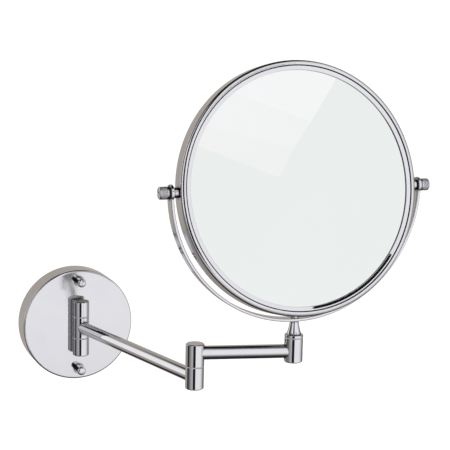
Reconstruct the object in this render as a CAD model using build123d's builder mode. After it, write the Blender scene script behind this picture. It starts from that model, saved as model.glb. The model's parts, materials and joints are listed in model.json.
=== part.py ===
from build123d import *
import os
from math import cos, radians, sin, sqrt

# Extendable wall mirror with two swinging arms and a double-sided round head.
# Frame: the wall is the plane Y = 0, the object reaches out along -Y, and +Z is up.
# The origin is the centre of the wall bracket's back face. Millimetres throughout.

os.makedirs("parts", exist_ok=True)

# ---- driving dimensions: wall mounting ----
bracket_width = 30.0
bracket_length = 102.0
bracket_thickness = 3.0
wall_hole_radius = 2.6
wall_hole_spacing = (16.0, 52.0)
stud_radius = 2.5
stud_length = 33.0
stud_collar_radius = 4.5
stud_height = 44.3           # studs stand this far above and below the centre
cover_radius = 55.0
cover_depth = 24.0
cover_wall = 1.2
cover_face = 1.6
cover_edge = 1.8             # rounding between the cover's face and its rim
stiffener_thickness = 2.5
nut_radius = 4.2
nut_length = 13.5
nut_dome = 2.4               # height of a cap nut's rounded tip

# ---- driving dimensions: hinges and arms ----
hinge_gap = 9.0              # hinge axis in front of the cover's face
knuckle_radius = 8.1
wall_hinge_top = 26.2
wall_hinge_bottom = -28.2    # the lower knuckle is longer, for the pin's head
middle_knuckle_half = 10.35  # half height of the moving knuckle between them
stem_radius = 4.0
stem_height = 19.0
pin_radius = 3.0
running_gap = 0.05
washer_radius = 7.7
washer_thickness = 0.4
edge = 0.3                   # chamfer on a knuckle's rim beside a seam
end_edge = 0.7               # chamfer on a knuckle's free end
tube_radius = 6.0
tube_bore = 5.0
tube_start = 5.0             # a tube's end stops this far from the hinge axis
cap_radius = 6.0
counterbore_radius = 4.7
pin_head_radius = 4.4
arm1_length = 204.0
arm2_length = 86.0
arm2_height = 21.2
elbow_bottom = -10.2
elbow_seam = 9.2
elbow_top = 29.5
mirror_knuckle_bottom = 11.8
mirror_knuckle_top = 33.2

# ---- driving dimensions: yoke and mirror head ----
pivot_height = 163.0
yoke_outer = 115.9           # half width of the yoke over its eyes
yoke_drop = 114.7            # depth of its outer curve below the pivots
yoke_thickness = 2.6
yoke_width = 10.5
yoke_rounding = 0.45
eye_radius = 7.0
collar_height = 2.5
neck_radius = 3.7
hoop_radius = 108.4
hoop_opening = 104.3
hoop_half_width = 9.0
hoop_roll_height = 2.5       # depth of the rounded roll between face and side
hoop_wall = 1.2
glass_radius = 103.0
visible_glass_radius = 100.0
glass_front = 6.6            # glass edge in front of the head's middle plane
bezel_inner_height = 7.8     # bezel's edge on the glass
bezel_height = 8.4           # and its highest part
bezel_slope_end = 102.6
groove_floor = 5.9
flat_glass_thickness = 2.8
curved_glass_thickness = 2.5
magnifier_radius = 950.0
pivot_screw_radius = 2.5
boss_radius = 4.4
knob_radius = 5.4
knob_length = 7.8
clamp_washer_thickness = 1.2

# ---- rest pose: headings of the arms and the head, from +X, and the head's tilt ----
arm1_angle = -77.0
arm2_angle = -12.5
head_angle = 0.0
tilt_angle = 9.0

UP = Vector(0, 0, 1)
RIGHT = Vector(1, 0, 0)
OUT_OF_WALL = Vector(0, -1, 0)


def heading(angle):
    """Horizontal unit vector at an angle from +X."""
    return Vector(cos(radians(angle)), sin(radians(angle)), 0)


def turning_plane(origin, radial, axial):
    """Plane whose x is a radius and whose y is the axis that a turned piece spins about."""
    return Plane(origin=origin, x_dir=radial, z_dir=radial.cross(axial))


def turn(outline, plane, mode=Mode.ADD):
    """Revolve a closed outline of (radius, height) points about the plane's y axis."""
    with BuildSketch(plane) as profile:
        with BuildLine():
            Polyline(*outline, close=True)
        make_face()
    revolve(profile.sketch, axis=Axis(plane.origin, plane.y_dir), mode=mode)


def ring(inner, outer, low, high, low_edge=0.0, high_edge=0.0):
    """Outline of a ring, or of a disc where inner is 0, with chamfered outer rims."""
    outline = [(inner, low), (outer - low_edge, low)]
    if low_edge:
        outline.append((outer, low + low_edge))
    outline.append((outer, high - high_edge))
    if high_edge:
        outline.append((outer - high_edge, high))
    outline.append((inner, high))
    return outline


def finish(piece, name):
    """Label a finished piece and write its STEP file."""
    piece.part.label = name
    export_step(piece.part, f"parts/{name}.step")


# ---- places worked out from the dimensions ----
arm1_direction = heading(arm1_angle)
arm2_direction = heading(arm2_angle)
head_across = heading(head_angle)
head_forward = head_across.cross(UP)
head_normal = head_forward * cos(radians(tilt_angle)) + UP * sin(radians(tilt_angle))

wall_axis = OUT_OF_WALL * (cover_depth + hinge_gap)
elbow_axis = wall_axis + arm1_direction * arm1_length
mirror_axis = elbow_axis + arm2_direction * arm2_length
pivot_centre = mirror_axis + UP * pivot_height

wall_turn = turning_plane(wall_axis, arm1_direction, UP)
elbow_turn = turning_plane(elbow_axis, arm2_direction, UP)
mirror_turn = turning_plane(mirror_axis, arm2_direction, UP)
head_turn = turning_plane(pivot_centre, head_across, head_normal)
wall_plane = Plane(origin=(0, 0, 0), x_dir=RIGHT, z_dir=OUT_OF_WALL)

fixed_knuckle_start = middle_knuckle_half + washer_thickness + 2 * running_gap
cover_inside = cover_depth - cover_face
stiffener_back = cover_inside - stiffener_thickness


def out_of_wall_at(height):
    """Turning plane of a piece whose axis leaves the wall squarely at a height."""
    return turning_plane(UP * height, RIGHT, OUT_OF_WALL)


def along(origin, direction, height=0.0):
    """Turning plane of a tube or socket that leaves a hinge axis at a height."""
    return turning_plane(origin + UP * height, UP, direction)


def tube_socket(origin, direction, height=0.0):
    """Cut the blind round seat of an arm tube into the knuckle being built."""
    seat = ring(0, tube_radius, tube_start, knuckle_radius + 1)
    turn(seat, along(origin, direction, height), Mode.SUBTRACT)


# ================= wall mounting =================

# Flat steel strap that is screwed to the wall behind the cover.
with BuildPart() as wall_bracket:
    with BuildSketch(wall_plane):
        SlotOverall(bracket_length, bracket_width, rotation=90)
        with Locations((0, stud_height), (0, -stud_height)):
            Circle(stud_radius, mode=Mode.SUBTRACT)
        with GridLocations(*wall_hole_spacing, 2, 2):
            Circle(wall_hole_radius, mode=Mode.SUBTRACT)
    extrude(amount=bracket_thickness)
finish(wall_bracket, "wall_bracket")

# Two studs riveted into the bracket, with a collar that seats on its front.
with BuildPart() as cover_studs:
    for height in (stud_height, -stud_height):
        stud = out_of_wall_at(height)
        turn(ring(0, stud_radius, 0, stud_length, 0, 0.6), stud)
        turn(ring(0, stud_collar_radius, bracket_thickness, bracket_thickness + 2), stud)
finish(cover_studs, "cover_studs")

# Deep round cover pressed from sheet, open towards the wall.
with BuildPart() as mounting_cover:
    with BuildSketch(wall_plane):
        Circle(cover_radius)
    extrude(amount=cover_depth)
    front_rim = mounting_cover.edges().filter_by(GeomType.CIRCLE).sort_by(Axis.Y)[0]
    fillet(front_rim, cover_edge)
    with BuildSketch(wall_plane):
        Circle(cover_radius - cover_wall)
    extrude(amount=cover_inside, mode=Mode.SUBTRACT)
    with BuildSketch(wall_plane):
        with Locations((0, stud_height), (0, -stud_height)):
            Circle(stud_radius + 0.2)
        with Locations((0, stem_height), (0, -stem_height)):
            Circle(2.2)
    extrude(amount=cover_depth, mode=Mode.SUBTRACT)
finish(mounting_cover, "mounting_cover")

# Steel strap behind the cover's face that spreads the load of the hinge.
with BuildPart() as cover_stiffener:
    with BuildSketch(wall_plane.offset(stiffener_back)):
        SlotOverall(bracket_length - 2, bracket_width - 2, rotation=90)
        with Locations((0, stud_height), (0, -stud_height)):
            Circle(stud_radius + 0.2, mode=Mode.SUBTRACT)
        with Locations((0, stem_height), (0, -stem_height)):
            Circle(2.2, mode=Mode.SUBTRACT)
    extrude(amount=stiffener_thickness)
finish(cover_stiffener, "cover_stiffener")

# Two long domed cap nuts that pull the cover onto the studs.
nut_thread_end = stud_length + 0.5 - cover_depth
nut_base = cover_depth
nut_tip = cover_depth + nut_length
dome_start = nut_tip - nut_dome
with BuildPart() as cap_nuts:
    for height in (stud_height, -stud_height):
        nut = out_of_wall_at(height)
        with BuildSketch(nut):
            with BuildLine():
                Polyline(
                    (0, nut_tip),
                    (0, nut_base),
                    (nut_radius - edge, nut_base),
                    (nut_radius, nut_base + edge),
                    (nut_radius, dome_start),
                )
                Spline((nut_radius, dome_start), (0, nut_tip), tangents=((0, 1), (-1, 0)))
            make_face()
        revolve(axis=Axis(nut.origin, nut.y_dir))
        turn(ring(0, stud_radius, nut_base, nut_base + nut_thread_end), nut, Mode.SUBTRACT)
finish(cap_nuts, "cap_nuts")

# Fixed hinge knuckles, each with a short stem that stands on the cover's face.
screw_hole_end = cover_depth + 5.8
knuckle_screw_radius = 2.0
pin_blind_end = 22.2
with BuildPart() as upper_wall_knuckle:
    outline = ring(0, knuckle_radius, fixed_knuckle_start, wall_hinge_top, edge, end_edge)
    turn(outline, wall_turn)
    stem = out_of_wall_at(stem_height)
    turn(ring(0, stem_radius, cover_depth, cover_depth + hinge_gap), stem)
    turn(ring(0, pin_radius, fixed_knuckle_start, pin_blind_end), wall_turn, Mode.SUBTRACT)
    turn(ring(0, knuckle_screw_radius, cover_depth, screw_hole_end), stem, Mode.SUBTRACT)
finish(upper_wall_knuckle, "upper_wall_knuckle")

wall_cap_top = wall_hinge_bottom + 1.2
wall_head_top = -23.2
wall_head_bottom = -26.4
with BuildPart() as lower_wall_knuckle:
    outline = ring(0, knuckle_radius, wall_hinge_bottom, -fixed_knuckle_start, end_edge, edge)
    turn(outline, wall_turn)
    stem = out_of_wall_at(-stem_height)
    turn(ring(0, stem_radius, cover_depth, cover_depth + hinge_gap), stem)
    turn(ring(0, pin_radius, wall_head_top, -fixed_knuckle_start), wall_turn, Mode.SUBTRACT)
    counterbore = ring(0, counterbore_radius, wall_hinge_bottom, wall_head_top)
    turn(counterbore, wall_turn, Mode.SUBTRACT)
    turn(ring(0, cap_radius, wall_hinge_bottom, wall_cap_top), wall_turn, Mode.SUBTRACT)
    turn(ring(0, knuckle_screw_radius, cover_depth, screw_hole_end), stem, Mode.SUBTRACT)
finish(lower_wall_knuckle, "lower_wall_knuckle")

# Two screws from inside the cover that hold the knuckles' stems.
with BuildPart() as knuckle_screws:
    for height in (stem_height, -stem_height):
        screw = out_of_wall_at(height)
        turn(ring(0, knuckle_screw_radius, stiffener_back, screw_hole_end - 0.4), screw)
        turn(ring(0, 3.8, stiffener_back - 2.6, stiffener_back, 0.8, 0), screw)
        with BuildSketch(wall_plane.offset(stiffener_back - 2.6)):
            with Locations((0, height)):
                RegularPolygon(1.6, 6)
        extrude(amount=1.5, mode=Mode.SUBTRACT)
finish(knuckle_screws, "knuckle_screws")

# Hinge pin: a socket-head screw from below, threaded into the upper knuckle.
with BuildPart() as wall_hinge_pin:
    turn(ring(0, pin_radius, wall_head_top, pin_blind_end - 0.6, 0, 0.5), wall_turn)
    turn(ring(0, pin_head_radius, wall_head_bottom, wall_head_top, 0.4, 0), wall_turn)
    with BuildSketch(Plane.XY.offset(wall_head_bottom)):
        with Locations((wall_axis.X, wall_axis.Y)):
            RegularPolygon(1.8, 6)
    extrude(amount=2.0, mode=Mode.SUBTRACT)
finish(wall_hinge_pin, "wall_hinge_pin")

with BuildPart() as wall_hinge_cap:
    turn(ring(0, cap_radius, wall_hinge_bottom, wall_cap_top, edge, 0), wall_turn)
finish(wall_hinge_cap, "wall_hinge_cap")

# Thin nylon washers between the fixed knuckles and the moving one.
for name, side in (("upper_wall_washer", 1), ("lower_wall_washer", -1)):
    near = side * (middle_knuckle_half + running_gap)
    far = side * (middle_knuckle_half + running_gap + washer_thickness)
    with BuildPart() as wall_washer:
        turn(ring(pin_radius + 0.1, washer_radius, min(near, far), max(near, far)), wall_turn)
    finish(wall_washer, name)


# ================= first arm =================

with BuildPart() as arm1_wall_knuckle:
    outline = ring(0, knuckle_radius, -middle_knuckle_half, middle_knuckle_half, edge, edge)
    turn(outline, wall_turn)
    pin_hole = ring(0, pin_radius + running_gap, -middle_knuckle_half, middle_knuckle_half)
    turn(pin_hole, wall_turn, Mode.SUBTRACT)
    tube_socket(wall_axis, arm1_direction)
finish(arm1_wall_knuckle, "arm1_wall_knuckle")

with BuildPart() as arm1_tube:
    turn(ring(tube_bore, tube_radius, tube_start, arm1_length - tube_start), along(wall_axis, arm1_direction))
finish(arm1_tube, "arm1_tube")

# The elbow's lower half: the pin's head and its spring washer sit in a counterbore.
elbow_cap_top = elbow_bottom + 1.0
elbow_shoulder = elbow_bottom + 4.8
with BuildPart() as arm1_elbow_knuckle:
    turn(ring(0, knuckle_radius, elbow_bottom, elbow_seam, end_edge, edge), elbow_turn)
    pin_hole = ring(0, pin_radius + running_gap, elbow_shoulder, elbow_seam)
    turn(pin_hole, elbow_turn, Mode.SUBTRACT)
    turn(ring(0, counterbore_radius, elbow_bottom, elbow_shoulder), elbow_turn, Mode.SUBTRACT)
    turn(ring(0, cap_radius, elbow_bottom, elbow_cap_top), elbow_turn, Mode.SUBTRACT)
    tube_socket(elbow_axis, arm1_direction * -1)
finish(arm1_elbow_knuckle, "arm1_elbow_knuckle")

with BuildPart() as elbow_cap:
    turn(ring(0, cap_radius, elbow_bottom, elbow_cap_top, edge, 0), elbow_turn)
finish(elbow_cap, "elbow_cap")


# ================= second arm =================

# Hinge pin of the elbow: shoulder screw from below, threaded into the upper half.
elbow_head_top = elbow_shoulder - 1.3
elbow_pin_end = elbow_top - 4.2
with BuildPart() as elbow_pin:
    turn(ring(0, pin_radius, elbow_head_top, elbow_pin_end, 0, 0.5), elbow_turn)
    turn(ring(0, pin_head_radius, elbow_head_top - 2.2, elbow_head_top, 0.4, 0), elbow_turn)
    with BuildSketch(Plane.XY.offset(elbow_head_top - 2.2)):
        with Locations((elbow_axis.X, elbow_axis.Y)):
            RegularPolygon(1.8, 6)
    extrude(amount=1.6, mode=Mode.SUBTRACT)
finish(elbow_pin, "elbow_pin")


def cone_washer(plane, bore, height):
    """Slightly coned spring washer that keeps a hinge stiff."""
    outline = [
        (bore, height + 0.45),
        (pin_head_radius, height),
        (pin_head_radius, height + 0.6),
        (bore, height + 1.05),
    ]
    turn(outline, plane)


with BuildPart() as elbow_spring_washer:
    cone_washer(elbow_turn, pin_radius + 0.15, elbow_head_top + 0.1)
finish(elbow_spring_washer, "elbow_spring_washer")

elbow_washer_low = elbow_seam + running_gap
elbow_washer_high = elbow_washer_low + washer_thickness
with BuildPart() as elbow_washer:
    turn(ring(pin_radius + 0.1, washer_radius, elbow_washer_low, elbow_washer_high), elbow_turn)
finish(elbow_washer, "elbow_washer")

upper_half_bottom = elbow_washer_high + running_gap
with BuildPart() as arm2_elbow_knuckle:
    turn(ring(0, knuckle_radius, upper_half_bottom, elbow_top, edge, end_edge), elbow_turn)
    turn(ring(0, pin_radius, upper_half_bottom, elbow_top - 3.6), elbow_turn, Mode.SUBTRACT)
    tube_socket(elbow_axis, arm2_direction, arm2_height)
finish(arm2_elbow_knuckle, "arm2_elbow_knuckle")

with BuildPart() as arm2_tube:
    tube_outline = ring(tube_bore, tube_radius, tube_start, arm2_length - tube_start)
    turn(tube_outline, along(elbow_axis, arm2_direction, arm2_height))
finish(arm2_tube, "arm2_tube")

mirror_cap_top = mirror_knuckle_bottom + 1.2
mirror_shoulder = mirror_knuckle_bottom + 5.8
with BuildPart() as arm2_mirror_knuckle:
    outline = ring(0, knuckle_radius, mirror_knuckle_bottom, mirror_knuckle_top, end_edge, edge)
    turn(outline, mirror_turn)
    pin_hole = ring(0, pin_radius + running_gap, mirror_shoulder, mirror_knuckle_top)
    turn(pin_hole, mirror_turn, Mode.SUBTRACT)
    counterbore = ring(0, counterbore_radius, mirror_knuckle_bottom, mirror_shoulder)
    turn(counterbore, mirror_turn, Mode.SUBTRACT)
    turn(ring(0, cap_radius, mirror_knuckle_bottom, mirror_cap_top), mirror_turn, Mode.SUBTRACT)
    tube_socket(mirror_axis, arm2_direction * -1, arm2_height)
finish(arm2_mirror_knuckle, "arm2_mirror_knuckle")

with BuildPart() as mirror_knuckle_cap:
    turn(ring(0, cap_radius, mirror_knuckle_bottom, mirror_cap_top, edge, 0), mirror_turn)
finish(mirror_knuckle_cap, "mirror_knuckle_cap")


# ================= yoke =================

swivel_washer_low = mirror_knuckle_top + running_gap
swivel_washer_high = swivel_washer_low + washer_thickness
with BuildPart() as swivel_washer:
    turn(ring(pin_radius + 0.1, washer_radius, swivel_washer_low, swivel_washer_high), mirror_turn)
finish(swivel_washer, "swivel_washer")

# Turned post: spindle below, collar, and a waisted neck that carries the yoke.
collar_bottom = swivel_washer_high + running_gap
collar_top = collar_bottom + collar_height
neck_top = pivot_height - yoke_drop
spindle_shoulder = mirror_shoulder + 0.4
thread_radius = 2.0
thread_end = mirror_knuckle_bottom + 1.5
neck_flare_height = neck_top - collar_top
yoke_screw_end = neck_top - 6.0
with BuildPart() as swivel_post:
    with BuildSketch(mirror_turn):
        with BuildLine():
            Polyline(
                (0, neck_top),
                (0, thread_end),
                (thread_radius, thread_end),
                (thread_radius, spindle_shoulder),
                (pin_radius, spindle_shoulder),
                (pin_radius, collar_bottom),
                (knuckle_radius - edge, collar_bottom),
                (knuckle_radius, collar_bottom + edge),
                (knuckle_radius, collar_top - edge),
                (knuckle_radius - edge, collar_top),
            )
            Spline(
                (knuckle_radius - edge, collar_top),
                (neck_radius + 1.6, collar_top + 0.31 * neck_flare_height),
                (neck_radius, neck_top),
                tangents=((-1.0, 0.35), (-0.08, 1.0)),
            )
            Line((neck_radius, neck_top), (0, neck_top))
        make_face()
    revolve(axis=Axis(mirror_turn.origin, UP))
    turn(ring(0, thread_radius, yoke_screw_end, neck_top), mirror_turn, Mode.SUBTRACT)
finish(swivel_post, "swivel_post")

with BuildPart() as swivel_nut:
    with BuildSketch(Plane.XY.offset(thread_end + 0.3)):
        with Locations((mirror_axis.X, mirror_axis.Y)):
            RegularPolygon(pin_head_radius - 0.3, 6)
            Circle(thread_radius, mode=Mode.SUBTRACT)
    extrude(amount=2.8)
finish(swivel_nut, "swivel_nut")

with BuildPart() as swivel_spring_washer:
    cone_washer(mirror_turn, thread_radius + 0.15, thread_end + 3.2)
finish(swivel_spring_washer, "swivel_spring_washer")

# Half-round strap with a round eye at each end.
yoke_plane = Plane(origin=pivot_centre, x_dir=head_across, z_dir=head_forward)
yoke_inner = yoke_outer - yoke_thickness
with BuildPart() as yoke:
    with BuildSketch(yoke_plane):
        Ellipse(yoke_outer, yoke_drop)
        Ellipse(yoke_inner, yoke_drop - yoke_thickness, mode=Mode.SUBTRACT)
        with Locations((0, yoke_outer)):
            Rectangle(2 * yoke_outer + 2, 2 * yoke_outer, mode=Mode.SUBTRACT)
    extrude(amount=yoke_width / 2, both=True)
    long_edges = [e for e in yoke.edges() if e.length > 4 * yoke_width]
    fillet(long_edges, yoke_rounding)
    for side in (-1, 1):
        eye_axis = turning_plane(pivot_centre, UP, head_across * side)
        turn(ring(0, eye_radius, yoke_inner, yoke_outer, edge, edge), eye_axis)
        pivot_hole = ring(0, pivot_screw_radius + running_gap, yoke_inner - 1, yoke_outer + 1)
        turn(pivot_hole, eye_axis, Mode.SUBTRACT)
    screw_hole = ring(0, thread_radius + 0.2, neck_top - 1, neck_top + 5)
    turn(screw_hole, mirror_turn, Mode.SUBTRACT)
finish(yoke, "yoke")

# Low screw through the strap into the top of the post.
yoke_screw_seat = pivot_height - yoke_drop + yoke_thickness + 0.06
with BuildPart() as yoke_screw:
    turn(ring(0, thread_radius, yoke_screw_end + 0.5, yoke_screw_seat), mirror_turn)
    turn(ring(0, 3.5, yoke_screw_seat, yoke_screw_seat + 1.9, 0, 0.6), mirror_turn)
    with BuildSketch(Plane.XY.offset(yoke_screw_seat + 1.9)):
        with Locations((mirror_axis.X, mirror_axis.Y)):
            RegularPolygon(1.4, 6)
    extrude(amount=-1.2, mode=Mode.SUBTRACT)
finish(yoke_screw, "yoke_screw")

# Washers on both sides of each eye.
outer_washer_start = yoke_outer + running_gap
outer_washer_end = outer_washer_start + clamp_washer_thickness
inner_washer_end = yoke_inner - 0.1
inner_washer_start = inner_washer_end - 0.5
for name, side in (("left", -1), ("right", 1)):
    pivot = turning_plane(pivot_centre, UP, head_across * side)
    washer_bore = pivot_screw_radius + 0.1
    with BuildPart() as outer_washer:
        turn(ring(washer_bore, knob_radius - 0.2, outer_washer_start, outer_washer_end), pivot)
    finish(outer_washer, f"{name}_knob_washer")
    with BuildPart() as inner_washer:
        turn(ring(washer_bore, boss_radius, inner_washer_start, inner_washer_end), pivot)
    finish(inner_washer, f"{name}_pivot_washer")


# ================= mirror head =================

# Outer hoop: a channel open towards the middle, with a rounded roll at the front and back.
lip_depth = 3.0
roll_width = hoop_radius - hoop_opening
roll_start = hoop_half_width - hoop_roll_height
cavity_outer = hoop_radius - hoop_wall
cavity_inner = hoop_opening + hoop_wall
with BuildPart() as head_hoop:
    with BuildSketch(head_turn):
        with Locations((hoop_opening + roll_width / 2, 0)):
            Rectangle(roll_width, 2 * roll_start)
        for low, high in ((roll_start, hoop_half_width), (-hoop_half_width, -roll_start)):
            with BuildSketch(mode=Mode.PRIVATE) as roll:
                with Locations((hoop_opening, roll_start if low > 0 else -roll_start)):
                    Ellipse(roll_width, hoop_roll_height)
                with Locations((hoop_opening + roll_width / 2, (low + high) / 2)):
                    Rectangle(roll_width, high - low, mode=Mode.INTERSECT)
            add(roll.sketch)
        with Locations(((cavity_inner + cavity_outer) / 2, 0)):
            Rectangle(cavity_outer - cavity_inner, 2 * roll_start, mode=Mode.SUBTRACT)
        with Locations((hoop_opening + hoop_wall / 2, 0)):
            Rectangle(hoop_wall + 0.2, 2 * (hoop_half_width - lip_depth), mode=Mode.SUBTRACT)
    revolve(axis=Axis(pivot_centre, head_normal))
    for side in (-1, 1):
        pivot = turning_plane(pivot_centre, head_normal, head_across * side)
        turn(ring(0, 3.05, hoop_opening, hoop_radius + 1), pivot, Mode.SUBTRACT)
finish(head_hoop, "head_hoop")

# Rolled rings that hold the glasses: a skirt inside the hoop and a bead over the edge.
skirt_outer = hoop_opening - 0.2
skirt_inner = glass_radius + 0.2
bead_outer = hoop_opening - 0.6
bead_under = glass_front + 0.05
for name, side in (("front_bezel", 1), ("rear_bezel", -1)):
    with BuildPart() as bezel:
        with BuildSketch(head_turn):
            with BuildLine():
                Polyline(
                    (bead_outer - 0.4, side * bezel_height),
                    (bezel_slope_end, side * bezel_height),
                    (visible_glass_radius, side * bezel_inner_height),
                    (visible_glass_radius, side * bead_under),
                    (skirt_inner, side * bead_under),
                    (skirt_inner, side * 0.6),
                    (skirt_outer, side * 0.6),
                    (skirt_outer, side * groove_floor),
                    (bead_outer, side * groove_floor),
                    (bead_outer, side * (bezel_height - 0.4)),
                )
                ThreePointArc(
                    (bead_outer, side * (bezel_height - 0.4)),
                    (bead_outer - 0.12, side * (bezel_height - 0.12)),
                    (bead_outer - 0.4, side * bezel_height),
                )
            make_face()
        revolve(axis=Axis(pivot_centre, head_normal))
    finish(bezel, name)

with BuildPart() as flat_mirror:
    flat_back = glass_front - flat_glass_thickness
    turn(ring(0, glass_radius, flat_back, glass_front, 0.3, 0.3), head_turn)
finish(flat_mirror, "flat_mirror")


def sag(radius, sphere):
    """Depth of a spherical surface at a radius from its axis."""
    return sphere - sqrt(sphere**2 - radius**2)


# Concave glass of even thickness, hollow towards the back of the head.
curved_centre = sag(glass_radius, magnifier_radius) - glass_front
inner_sphere = magnifier_radius + curved_glass_thickness
inner_centre = curved_centre + curved_glass_thickness
with BuildPart() as magnifying_mirror:
    with BuildSketch(head_turn):
        with BuildLine():
            Line((0, inner_centre), (0, curved_centre))
            ThreePointArc(
                (0, curved_centre),
                (glass_radius / 2, curved_centre - sag(glass_radius / 2, magnifier_radius)),
                (glass_radius, -glass_front),
            )
            inner_edge = inner_centre - sag(glass_radius, inner_sphere)
            Line((glass_radius, -glass_front), (glass_radius, inner_edge))
            ThreePointArc(
                (glass_radius, inner_edge),
                (glass_radius / 2, inner_centre - sag(glass_radius / 2, inner_sphere)),
                (0, inner_centre),
            )
        make_face()
    revolve(axis=Axis(pivot_centre, head_normal))
finish(magnifying_mirror, "magnifying_mirror")

# Plastic ring that keeps the rims of the two glasses apart.
spacer_inner = 99.5
spacer_back = inner_centre - sag(spacer_inner, inner_sphere) + 0.05
with BuildPart() as glass_spacer:
    turn(ring(spacer_inner, glass_radius, spacer_back, flat_back - 0.05), head_turn)
finish(glass_spacer, "glass_spacer")

# Foam sheet between the backs of the two glasses.
with BuildPart() as backing_sheet:
    turn(ring(0, spacer_inner - 1.5, inner_centre + 0.05, flat_back - 0.05), head_turn)
finish(backing_sheet, "backing_sheet")

# Threaded bosses riveted through the hoop, and the knobs that screw into them.
boss_end = inner_washer_start - running_gap
rivet_start = hoop_opening + 0.9
hoop_inside = hoop_radius - hoop_wall
knob_start = outer_washer_end + running_gap
knob_end = knob_start + knob_length
knob_socket_end = knob_start + 6.0
for name, side in (("left", -1), ("right", 1)):
    pivot = turning_plane(pivot_centre, UP, head_across * side)
    with BuildPart() as pivot_boss:
        turn(ring(0, boss_radius, hoop_radius, boss_end, 0, edge), pivot)
        turn(ring(0, 3.0, rivet_start, hoop_radius), pivot)
        turn(ring(0, boss_radius, rivet_start, hoop_inside - 0.1), pivot)
        screw_bore = ring(0, pivot_screw_radius + running_gap, rivet_start, boss_end)
        turn(screw_bore, pivot, Mode.SUBTRACT)
    finish(pivot_boss, f"{name}_pivot_boss")
    with BuildPart() as pivot_screw:
        screw_start = rivet_start + 0.5
        turn(ring(0, pivot_screw_radius, screw_start, knob_socket_end, 0.4, 0), pivot)
    finish(pivot_screw, f"{name}_pivot_screw")
    with BuildPart() as knob:
        turn(ring(0, knob_radius, knob_start, knob_end, 0.4, 0.8), pivot)
        turn(ring(0, pivot_screw_radius, knob_start, knob_socket_end), pivot, Mode.SUBTRACT)
        turn(ring(0, 1.2, knob_end - 0.8, knob_end), pivot, Mode.SUBTRACT)
    finish(knob, f"{name}_knob")
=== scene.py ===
import json
import math

import bpy
from mathutils import Matrix, Vector


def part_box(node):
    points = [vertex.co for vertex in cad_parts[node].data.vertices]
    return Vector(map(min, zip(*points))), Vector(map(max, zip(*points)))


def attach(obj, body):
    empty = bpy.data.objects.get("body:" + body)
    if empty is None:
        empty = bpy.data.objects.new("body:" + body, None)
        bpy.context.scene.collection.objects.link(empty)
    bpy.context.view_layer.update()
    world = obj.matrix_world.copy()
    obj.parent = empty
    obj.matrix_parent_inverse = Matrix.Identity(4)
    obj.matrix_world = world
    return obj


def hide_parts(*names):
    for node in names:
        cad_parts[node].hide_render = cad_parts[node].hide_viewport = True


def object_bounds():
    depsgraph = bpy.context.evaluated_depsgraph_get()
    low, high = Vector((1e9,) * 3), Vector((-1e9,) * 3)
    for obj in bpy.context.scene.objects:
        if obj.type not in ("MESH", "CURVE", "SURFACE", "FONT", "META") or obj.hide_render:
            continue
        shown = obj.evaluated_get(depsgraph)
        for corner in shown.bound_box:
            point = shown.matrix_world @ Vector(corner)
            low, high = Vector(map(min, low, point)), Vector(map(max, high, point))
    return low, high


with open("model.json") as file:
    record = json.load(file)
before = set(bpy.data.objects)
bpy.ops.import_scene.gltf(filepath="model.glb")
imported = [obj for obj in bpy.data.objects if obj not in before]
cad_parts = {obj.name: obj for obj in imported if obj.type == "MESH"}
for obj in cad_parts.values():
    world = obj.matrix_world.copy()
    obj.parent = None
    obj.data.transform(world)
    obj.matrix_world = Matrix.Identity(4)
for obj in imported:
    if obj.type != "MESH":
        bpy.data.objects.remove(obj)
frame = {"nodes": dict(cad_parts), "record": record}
cad_low, cad_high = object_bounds()
MM = 0.001


# ---------------------------------------------------------------- materials
METAL, PLASTIC = 1.0, 0.0            # the shader's Metallic value

# Chrome roughness, from the clearest patches to the haziest.
POLISHED = (0.018, 0.06)
PRESSED = (0.07, 0.11)               # the cover is pressed from sheet, a little less flat
CUT = (0.06, 0.12)                   # knurling

# How far polishing and plate soften an edge.
EDGE_ROUNDING = 0.5 * MM
STRAP_ROUNDING = 1.3 * MM            # the yoke and hoop are rolled strap with soft edges
KNURL_ROUNDING = 0.05 * MM

# Painted shade: how much of the brightness the ambient occlusion leaves in a crevice.
PAINTED_CREVICE_SHADE = 0.05
KNURL_PAINTED_SHADE = 0.7
CREVICE_REACH = 3 * MM

CHROME_COLOUR = (0.64, 0.64, 0.65)
GLASS_COLOUR = (0.7, 0.725, 0.69)
ZINC_COLOUR = (0.6, 0.61, 0.64)
SPRING_COLOUR = (0.4, 0.41, 0.43)


def new_material(name, colour, metallic, roughness):
    material = bpy.data.materials.new(name)
    material.use_nodes = True
    tree = material.node_tree
    shader = tree.nodes["Principled BSDF"]
    shader.inputs["Base Color"].default_value = (*colour, 1)
    shader.inputs["Metallic"].default_value = metallic
    shader.inputs["Roughness"].default_value = roughness
    return material, tree, shader


def noise(tree, scale, detail=3.0, stretch=(1, 1, 1)):
    """Noise over the piece's own coordinates; scale is in cells per metre."""
    place = tree.nodes.new("ShaderNodeTexCoord")
    mapping = tree.nodes.new("ShaderNodeMapping")
    mapping.inputs["Scale"].default_value = stretch
    texture = tree.nodes.new("ShaderNodeTexNoise")
    texture.inputs["Scale"].default_value = scale
    texture.inputs["Detail"].default_value = detail
    tree.links.new(place.outputs["Object"], mapping.inputs["Vector"])
    tree.links.new(mapping.outputs["Vector"], texture.inputs["Vector"])
    return texture.outputs["Fac"]


def ramp(tree, source, low, high, start=0.3, end=0.7):
    """Turn a source between start and end into a number between low and high."""
    node = tree.nodes.new("ShaderNodeMapRange")
    node.inputs["From Min"].default_value = start
    node.inputs["From Max"].default_value = end
    node.inputs["To Min"].default_value = low
    node.inputs["To Max"].default_value = high
    tree.links.new(source, node.inputs["Value"])
    return node.outputs["Result"]


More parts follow.
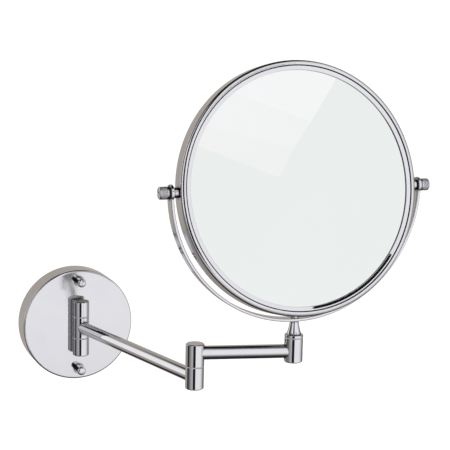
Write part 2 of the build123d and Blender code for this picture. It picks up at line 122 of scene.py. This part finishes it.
def tint(tree, source, dark, light, start=0.3, end=0.7):
    """Turn a source between start and end into a colour between dark and light."""
    node = tree.nodes.new("ShaderNodeValToRGB")
    node.color_ramp.elements[0].position = start
    node.color_ramp.elements[0].color = (*dark, 1)
    node.color_ramp.elements[1].position = end
    node.color_ramp.elements[1].color = (*light, 1)
    tree.links.new(source, node.inputs["Fac"])
    return node.outputs["Color"]


def bump(tree, shader, source, strength, distance, under=None):
    """Bump from a source, on top of another normal where one is given."""
    node = tree.nodes.new("ShaderNodeBump")
    node.inputs["Strength"].default_value = strength
    node.inputs["Distance"].default_value = distance
    tree.links.new(source, node.inputs["Height"])
    if under:
        tree.links.new(under, node.inputs["Normal"])
    tree.links.new(node.outputs["Normal"], shader.inputs["Normal"])
    return node.outputs["Normal"]


def multiply(tree, kind, first, second):
    node = tree.nodes.new(kind)
    node.operation = "MULTIPLY"
    tree.links.new(first, node.inputs[0])
    tree.links.new(second, node.inputs[1])
    return node.outputs[0]


def chrome(name, roughness, rounding, painted_shade=PAINTED_CREVICE_SHADE):
    """Bright plate over polished brass: faint waviness, wiping haze and hairline scratches."""
    smoothest, haziest = roughness
    material, tree, shader = new_material(name, CHROME_COLOUR, METAL, smoothest)
    haze = noise(tree, scale=45, detail=4)
    scratch = noise(tree, scale=900, detail=2, stretch=(1, 1, 0.06))
    wear = multiply(tree, "ShaderNodeMath", haze, scratch)
    rough = ramp(tree, wear, smoothest, haziest, start=0.15, end=0.45)
    tree.links.new(rough, shader.inputs["Roughness"])
    colour = tint(tree, haze, (0.625, 0.625, 0.64), (0.655, 0.655, 0.66))
    # Painted shade: the colour is darkened by ambient occlusion in crevices, gaps and inner
    # corners.
    crevice = tree.nodes.new("ShaderNodeAmbientOcclusion")
    crevice.inputs["Distance"].default_value = CREVICE_REACH
    crevice_shade_tint = tint(
        tree, crevice.outputs["AO"], (painted_shade,) * 3, (1, 1, 1), start=0.5, end=0.92
    )
    shaded_colour = multiply(tree, "ShaderNodeVectorMath", colour, crevice_shade_tint)
    tree.links.new(shaded_colour, shader.inputs["Base Color"])
    rounded = tree.nodes.new("ShaderNodeBevel")
    rounded.samples = 8
    rounded.inputs["Radius"].default_value = rounding
    ripple = noise(tree, scale=160, detail=2)
    wave = bump(tree, shader, ripple, 0.12, 0.01 * MM, under=rounded.outputs["Normal"])
    bump(tree, shader, scratch, 0.05, 0.004 * MM, under=wave)
    return material


def mirror_glass():
    """Silvered float glass with a trace of the green of the glass and a little wiping haze."""
    material, tree, shader = new_material("silvered_glass", GLASS_COLOUR, METAL, 0.004)
    haze = noise(tree, scale=14, detail=5)
    colour = tint(
        tree, haze, (0.693, 0.72, 0.684), (0.705, 0.73, 0.694), start=0.25, end=0.75
    )
    tree.links.new(colour, shader.inputs["Base Color"])
    tree.links.new(ramp(tree, haze, 0.0, 0.012), shader.inputs["Roughness"])
    return material


def zinc():
    """Bright zinc plate with uneven blue and yellow tints and a fine grain."""
    material, tree, shader = new_material("zinc_plated_steel", ZINC_COLOUR, METAL, 0.3)
    grain = noise(tree, scale=700, detail=4)
    patches = noise(tree, scale=120, detail=3)
    colour = tint(tree, patches, (0.52, 0.54, 0.58), (0.68, 0.68, 0.66))
    tree.links.new(colour, shader.inputs["Base Color"])
    tree.links.new(ramp(tree, grain, 0.22, 0.4), shader.inputs["Roughness"])
    bump(tree, shader, grain, 0.15, 0.03 * MM)
    return material


def spring_steel():
    """Dark hardened steel with a fine grain."""
    material, tree, shader = new_material("spring_steel", SPRING_COLOUR, METAL, 0.35)
    grain = noise(tree, scale=900, detail=3)
    colour = tint(tree, grain, (0.33, 0.34, 0.37), (0.45, 0.46, 0.47))
    tree.links.new(colour, shader.inputs["Base Color"])
    tree.links.new(ramp(tree, grain, 0.28, 0.45), shader.inputs["Roughness"])
    bump(tree, shader, grain, 0.15, 0.02 * MM)
    return material


def plastic(name, dark, light, roughness, grain_scale, depth):
    """Moulded plastic or foam with a fine grain and slightly uneven colour."""
    material, tree, shader = new_material(name, light, PLASTIC, roughness)
    colour = tint(tree, noise(tree, scale=90, detail=3), dark, light)
    tree.links.new(colour, shader.inputs["Base Color"])
    grain = noise(tree, grain_scale, detail=4)
    rough = ramp(tree, grain, roughness - 0.06, roughness + 0.08)
    tree.links.new(rough, shader.inputs["Roughness"])
    bump(tree, shader, grain, 0.3, depth)
    return material


# Each plastic: darkest and lightest colour, roughness, grain in cells per metre, grain depth.
PLASTICS = {
    "white_nylon": ((0.62, 0.62, 0.6), (0.7, 0.7, 0.68), 0.45, 1800, 0.02 * MM),
    "black_nylon": ((0.004,) * 3, (0.012,) * 3, 0.4, 1800, 0.02 * MM),
    "spacer_plastic": ((0.012, 0.012, 0.013), (0.02, 0.02, 0.022), 0.5, 1500, 0.02 * MM),
    "foam_sheet": ((0.5, 0.5, 0.47), (0.66, 0.66, 0.62), 0.9, 600, 0.3 * MM),
}
MATERIALS = {
    "chrome": chrome("chrome", POLISHED, EDGE_ROUNDING),
    "silvered_glass": mirror_glass(),
    "zinc_plated_steel": zinc(),
    "spring_steel": spring_steel(),
}
for slot_name, recipe in PLASTICS.items():
    MATERIALS[slot_name] = plastic(slot_name, *recipe)
for part in frame["record"]["subparts"]:
    mesh = frame["nodes"][part["node"]].data
    mesh.materials.clear()
    mesh.materials.append(MATERIALS[part["material_slot"]])

# The straps, the cover and the knobs have chrome of their own.
strap_chrome = chrome("strap_chrome", POLISHED, STRAP_ROUNDING)
pressed_chrome = chrome("pressed_chrome", PRESSED, EDGE_ROUNDING)
knurled_chrome = chrome("knurled_chrome", CUT, KNURL_ROUNDING, KNURL_PAINTED_SHADE)
for node_name, material in (
    ("yoke", strap_chrome), ("head_hoop", strap_chrome), ("mounting_cover", pressed_chrome),
):
    frame["nodes"][node_name].data.materials[0] = material


# ---------------------------------------------------------------- mesh helpers
def add_mesh(name, verts, faces, material):
    mesh = bpy.data.meshes.new(name)
    mesh.from_pydata(verts, [], faces)
    mesh.materials.append(material)
    piece = bpy.data.objects.new(name, mesh)
    bpy.context.scene.collection.objects.link(piece)
    return piece


def band(low_row, high_row, count):
    """Quads between two closed rows of points, given by the rows' first indices."""
    for step in range(count):
        beside = (step + 1) % count
        yield (low_row + step, low_row + beside, high_row + beside, high_row + step)


# ---------------------------------------------------------------- knurled knobs
KNURLS = 30
KNOB_STEPS = KNURLS * 8
KNURL_ROWS = 40
KNURL_START = 1.35 * MM              # from the washer, past the flange and its neck
KNURL_DEPTH = 0.34 * MM
KNURL_STEEPNESS = 1.1                # above 1 it flattens the bottoms of the grooves
KNURL_INSET = 0.05 * MM
FADE_ROWS = 3                        # rows in which the knurling runs out at each end
BORE_RADIUS = 2.7 * MM
# The flange beside the washer: distance from the washer and inset from the full radius, in mm.
FLANGE = [(0.0, 0.5), (0.12, 0.22), (0.35, 0.02), (0.9, 0.0), (1.1, 0.12), (1.2, 0.3)]
NOSE_LENGTH = 0.9 * MM
NOSE_DEPTH = 1.0 * MM
NOSE_ROWS = 6
NOSE_STEP = 15                       # degrees of the rounding from one row to the next
NOSE_SHORT = 0.98                    # the rounding stops just short of the end face
END_INSET = 1.2 * MM
# The dimple in the end face: depth and radius, in mm.
DIMPLE = [(0.0, 1.5), (0.1, 1.32), (0.75, 1.05), (0.8, 0.6)]
DIMPLE_DEPTH = 0.85 * MM


def knurl_cut(turn, along):
    """0 on a diamond's tip and 1 in the groove between diamonds, for two crossing spirals."""
    one = abs((turn * KNURLS + along) % 1.0 - 0.5) * 2
    two = abs((turn * KNURLS - along) % 1.0 - 0.5) * 2
    return min(1.0, max(one, two) ** 2 * KNURL_STEEPNESS)


def knob_rows(length, radius):
    """Rows of (distance from the washer, radius, knurl depth) from the bore to the dimple."""
    shoulder = length - NOSE_LENGTH
    knurled = radius - KNURL_INSET
    rows = [(0.0, BORE_RADIUS, 0)]
    rows += [(along * MM, radius - inset * MM, 0) for along, inset in FLANGE]
    for step in range(KNURL_ROWS + 1):
        along = KNURL_START + (shoulder - KNURL_START) * step / KNURL_ROWS
        fade = min(1.0, step / FADE_ROWS, (KNURL_ROWS - step) / FADE_ROWS)
        rows.append((along, knurled, KNURL_DEPTH * fade))
    for step in range(1, NOSE_ROWS + 1):
        angle = math.radians(NOSE_STEP * step)
        along = shoulder + NOSE_LENGTH * math.sin(angle) * NOSE_SHORT
        rows.append((along, knurled - NOSE_DEPTH * (1 - math.cos(angle)), 0))
    rows.append((length, radius - END_INSET, 0))
    rows += [(length - depth * MM, reach * MM, 0) for depth, reach in DIMPLE]
    return rows


def knurled_knob(name, node, body, side):
    """The knob again with real knurling; side is 1 where it points along +X, -1 along -X."""
    low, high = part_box(node)
    centre_y, centre_z = (low.y + high.y) / 2, (low.z + high.z) / 2
    radius = (high.z - low.z) / 2
    length = high.x - low.x
    start = low.x if side > 0 else high.x
    pitch = 2 * math.pi * radius / KNURLS
    verts, faces = [], []
    rows = knob_rows(length, radius)
    for along, at_radius, depth in rows:
        for step in range(KNOB_STEPS):
            turn = step / KNOB_STEPS
            reach = at_radius - (depth * knurl_cut(turn, along / pitch) if depth else 0.0)
            angle = 2 * math.pi * turn
            verts.append((
                start + side * along,
                centre_y + reach * math.cos(angle),
                centre_z + reach * math.sin(angle),
            ))
    for row in range(len(rows) - 1):
        faces += band(row * KNOB_STEPS, (row + 1) * KNOB_STEPS, KNOB_STEPS)
    last, end = (len(rows) - 1) * KNOB_STEPS, len(verts)
    verts.append((start + side * (length - DIMPLE_DEPTH), centre_y, centre_z))
    for step in range(KNOB_STEPS):
        faces.append((last + step, last + (step + 1) % KNOB_STEPS, end))
    if side < 0:
        faces = [face[::-1] for face in faces]
    knob = add_mesh(name, verts, faces, knurled_chrome)
    knob.data.shade_smooth()
    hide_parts(node)
    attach(knob, body)


knurled_knob("left_knurled_knob", "left_knob", "left_clamp_knob", -1)
knurled_knob("right_knurled_knob", "right_knob", "right_clamp_knob", 1)


# ---------------------------------------------------------------- magnifying glass
GLASS_STEPS = 256
GLASS_RINGS = 28
GLASS_THICKNESS = 2.5 * MM
GLASS_ARRIS = 0.25 * MM
GLASS_RIM_HEIGHT = -6.6 * MM         # from the tilt axis to the rim of the outer face
MAGNIFIER_RADIUS = 950 * MM
HEAD_TILT = math.radians(9)
SHARP_ANGLE = math.radians(30)


def sag(radius, sphere):
    return sphere - math.sqrt(sphere**2 - radius**2)


def magnifying_glass():
    """The concave glass again with fine even rings, since a mirror shows every facet."""
    joints = {joint["name"]: joint for joint in frame["record"]["behaviour"]["joints"]}
    centre = Vector(joints["mirror_tilt"]["pos_m"])
    across = Vector(joints["mirror_tilt"]["axis"])
    normal = Vector((0, -math.cos(HEAD_TILT), math.sin(HEAD_TILT)))
    upward = normal.cross(across)
    low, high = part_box("magnifying_mirror")
    radius = (high.x - low.x) / 2
    pole = GLASS_RIM_HEIGHT + sag(radius, MAGNIFIER_RADIUS)
    inner_sphere = MAGNIFIER_RADIUS + GLASS_THICKNESS
    back, front = [], []
    for ring in range(1, GLASS_RINGS + 1):
        reach = (radius - GLASS_ARRIS) * ring / GLASS_RINGS
        back.append((reach, pole - sag(reach, MAGNIFIER_RADIUS)))
        front.append((reach, pole + GLASS_THICKNESS - sag(reach, inner_sphere)))
    rim = [(radius, back[-1][1] + GLASS_ARRIS), (radius, front[-1][1] - GLASS_ARRIS)]
    rows = back + rim + front[::-1]
    verts, faces = [], []
    for reach, height in rows:
        for step in range(GLASS_STEPS):
            angle = 2 * math.pi * step / GLASS_STEPS
            spoke = across * math.cos(angle) + upward * math.sin(angle)
            verts.append(centre + spoke * reach + normal * height)
    back_pole, front_pole = len(verts), len(verts) + 1
    verts += [centre + normal * pole, centre + normal * (pole + GLASS_THICKNESS)]
    for row in range(len(rows) - 1):
        faces += band(row * GLASS_STEPS, (row + 1) * GLASS_STEPS, GLASS_STEPS)
    last = (len(rows) - 1) * GLASS_STEPS
    for step in range(GLASS_STEPS):
        beside = (step + 1) % GLASS_STEPS
        faces.append((back_pole, beside, step))
        faces.append((front_pole, last + step, last + beside))
    glass = add_mesh("curved_mirror_glass", verts, faces, MATERIALS["silvered_glass"])
    glass.data.shade_smooth()
    glass.data.set_sharp_from_angle(angle=SHARP_ANGLE)
    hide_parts("magnifying_mirror")
    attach(glass, "mirror_head")


magnifying_glass()


# ---------------------------------------------------------------- floor and room light
FLOOR_SIZE = 60.0
FLOOR_DROP = 0.25                    # how far the floor lies below the object
FLOOR_COLOUR = (0.93, 0.93, 0.93)
FLOOR_ROUGHNESS = 0.7
ROOM_COLOUR = (1, 1, 1, 1)
ROOM_BRIGHTNESS = 1.2


def studio_floor():
    half = FLOOR_SIZE / 2
    corners = [(-half, -half, 0), (half, -half, 0), (half, half, 0), (-half, half, 0)]
    material, _, shader = new_material("floor", FLOOR_COLOUR, PLASTIC, FLOOR_ROUGHNESS)
    shader.inputs["Specular IOR Level"].default_value = 0.0
    floor = add_mesh("floor", corners, [(0, 1, 2, 3)], material)
    floor.location = (0, 0, cad_low.z - FLOOR_DROP)
    floor.visible_glossy = False


def room_light():
    world = bpy.data.worlds.new("studio")
    bpy.context.scene.world = world
    world.use_nodes = True
    background = world.node_tree.nodes["Background"]
    background.inputs["Color"].default_value = ROOM_COLOUR
    background.inputs["Strength"].default_value = ROOM_BRIGHTNESS
    bpy.context.scene.view_settings.view_transform = "Standard"


studio_floor()
room_light()


# ---------------------------------------------------------------- what the chrome reflects
# Soft boxes, paper and black flags round the object, as a dome that only reflections see.
# Angles are in degrees. Azimuth 0 is in front of the object, and 90 is on the viewer's right.
DOME_RADIUS = 4.0
DOME_STEP = 2
CARD_DISTANCE = 3.9

WHITE = (1.2, 1.2, 1.245)
TAN = (0.52, 0.475, 0.44)
SHADE = (0.03, 0.03, 0.03)
BLACK = (0.02, 0.018, 0.018)
# Level sweep of paper round the object: azimuth and colour, fading between neighbours.
SWEEP = [
    (-180, TAN), (-122, TAN), (-115, BLACK), (-100, BLACK), (-92, (0.15, 0.15, 0.16)),
    (-77, (0.3, 0.3, 0.31)), (-64, (0.52, 0.52, 0.54)), (-50, (0.6, 0.6, 0.62)),
    (-44, (0.6, 0.6, 0.62)), (-36, WHITE), (50, WHITE),
    (62, (0.95, 0.95, 0.99)), (76, (0.7, 0.7, 0.72)), (90, (0.5, 0.5, 0.5)),
    (97, SHADE), (110, SHADE), (117, TAN), (180, TAN),
]
# The same sweep's brightness from the floor up to the ceiling: elevation and factor.
RISE = [
    (-90, 0.02), (-70, 0.04), (-58, 0.06), (-46, 0.24), (-30, 0.66), (-14, 0.97), (0, 1.0),
    (40, 0.95), (54, 0.75), (60, 0.02), (90, 0.01),
]
# Soft cards: azimuth and elevation of the centre, half width, half height, edge softness, colour.
SOFT_CARDS = [
    (-134, 12, 13, 20, 6, WHITE),                # white card behind on the left
    (-163, 42, 11, 6, 4, BLACK),                 # its dark upper edge
    (-153, -57, 20, 27, 6, BLACK),               # dark table below it
    (-49, 14, 12, 20, 3, WHITE),                 # white card in front on the left
    (-23, 22, 12.5, 40, 3, BLACK),               # flag beside the camera
    (-24, -13, 15, 7, 3, BLACK),                 # the camera's stand below it
]
# Sharp cards in front of the dome: name, corners as azimuth and elevation, brightness.
SHARP_CARDS = [
    # Black edge of the paper, over the camera.
    (
        "paper_edge",
        [(12.5, 17.5), (19.0, 21.0), (27.0, 23.0), (25.5, 31.5), (14.0, 31.0), (8.0, 25.5)],
        (0.01, 0.01, 0.01),
    ),
    # Window seen in the upper left of the glass, in three steps of brightness.
    (
        "window_low",
        [(24.1, 11.0), (25.0, 12.4), (16.0, 15.5), (16.0, 14.8)],
        (1.25, 1.22, 1.275),
    ),
    (
        "window_mid",
        [(25.0, 12.4), (26.1, 13.7), (16.0, 18.4), (16.0, 15.5)],
        (1.265, 1.24, 1.31),
    ),
    (
        "window_top",
        [(26.1, 13.7), (28.8, 17.2), (24.0, 18.8), (16.0, 18.8), (16.0, 18.4)],
        (1.3, 1.27, 1.345),
    ),
]


def smooth_step(distance, softness):
    t = min(max(0.5 - distance / softness, 0.0), 1.0)
    return t * t * (3 - 2 * t)


def along_list(points, where):
    """Value at a place in a list of (place, vector) pairs, fading between neighbours."""
    for (start, first), (end, last) in zip(points, points[1:]):
        if where <= end:
            return first.lerp(last, (where - start) / (end - start))
    return points[-1][1]


def dome_colour(azimuth, elevation):
    level = along_list([(place, Vector(colour)) for place, colour in SWEEP], azimuth)
    rise = along_list([(place, Vector((factor, 0))) for place, factor in RISE], elevation)
    colour = level * rise.x
    for az, el, half_width, half_height, softness, card in SOFT_CARDS:
        across = abs((azimuth - az + 180) % 360 - 180) - half_width
        upward = abs(elevation - el) - half_height
        weight = smooth_step(across, softness) * smooth_step(upward, softness)
        colour = colour.lerp(Vector(card), weight)
    return colour


def towards(azimuth, elevation):
    a, e = math.radians(azimuth), math.radians(elevation)
    return Vector((math.sin(a) * math.cos(e), -math.cos(a) * math.cos(e), math.sin(e)))


def add_lit_piece(name, verts, faces):
    """Glowing stage piece that only reflections see; returned with its tree and emission."""
    material = bpy.data.materials.new(name)
    material.use_nodes = True
    tree = material.node_tree
    tree.nodes.clear()
    emission = tree.nodes.new("ShaderNodeEmission")
    out = tree.nodes.new("ShaderNodeOutputMaterial")
    tree.links.new(emission.outputs["Emission"], out.inputs["Surface"])
    piece = add_mesh(name, verts, faces, material)
    piece.visible_camera = False
    piece.visible_diffuse = False
    piece.visible_shadow = False
    piece.visible_transmission = False
    return piece, tree, emission


def studio_dome():
    columns, rows = 360 // DOME_STEP, 180 // DOME_STEP
    verts, colours, faces = [], [], []
    for row in range(rows + 1):
        for column in range(columns):
            azimuth, elevation = column * DOME_STEP - 180, row * DOME_STEP - 90
            verts.append(towards(azimuth, elevation) * DOME_RADIUS)
            colours.append((*dome_colour(azimuth, elevation), 1.0))
    for row in range(rows):
        faces += band(row * columns, (row + 1) * columns, columns)
    dome, tree, emission = add_lit_piece("studio_dome", verts, faces)
    attribute = dome.data.color_attributes.new("light", "FLOAT_COLOR", "POINT")
    for item, colour in zip(attribute.data, colours):
        item.color = colour
    read = tree.nodes.new("ShaderNodeVertexColor")
    read.layer_name = "light"
    tree.links.new(read.outputs["Color"], emission.inputs["Color"])


def light_card(name, corners, brightness):
    verts = [towards(azimuth, elevation) * CARD_DISTANCE for azimuth, elevation in corners]
    _, _, emission = add_lit_piece(name, verts, [tuple(range(len(verts)))])
    emission.inputs["Color"].default_value = (*brightness, 1)


studio_dome()
for sharp_card in SHARP_CARDS:
    light_card(*sharp_card)


# ---------------------------------------------------------------- camera
CAMERA_PLACE = (-0.33689, -1.25558, 0.31494)
CAMERA_YAW = math.radians(21.723)    # turned right from +Y
CAMERA_PITCH = math.radians(-9.471)  # negative looks down
CAMERA_ROLL = math.radians(1.239)
SENSOR_WIDTH = 36.0                  # in millimetres, as the focal length is
FOCAL_LENGTH = 105.24
NEAREST, FARTHEST = 0.05, 100


def photograph_camera():
    yaw, pitch, roll = CAMERA_YAW, CAMERA_PITCH, CAMERA_ROLL
    forward = Vector(
        (math.sin(yaw) * math.cos(pitch), math.cos(yaw) * math.cos(pitch), math.sin(pitch))
    )
    level_right = Vector((math.cos(yaw), -math.sin(yaw), 0))
    level_up = level_right.cross(forward)
    right = level_right * math.cos(roll) + level_up * math.sin(roll)
    up = level_up * math.cos(roll) - level_right * math.sin(roll)
    data = bpy.data.cameras.new("camera")
    data.sensor_width = SENSOR_WIDTH
    data.lens = FOCAL_LENGTH
    data.clip_start, data.clip_end = NEAREST, FARTHEST
    camera = bpy.data.objects.new("camera", data)
    bpy.context.scene.collection.objects.link(camera)
    turn = Matrix((right, up, -forward)).transposed().to_4x4()
    camera.matrix_world = Matrix.Translation(CAMERA_PLACE) @ turn
    bpy.context.scene.camera = camera


photograph_camera()
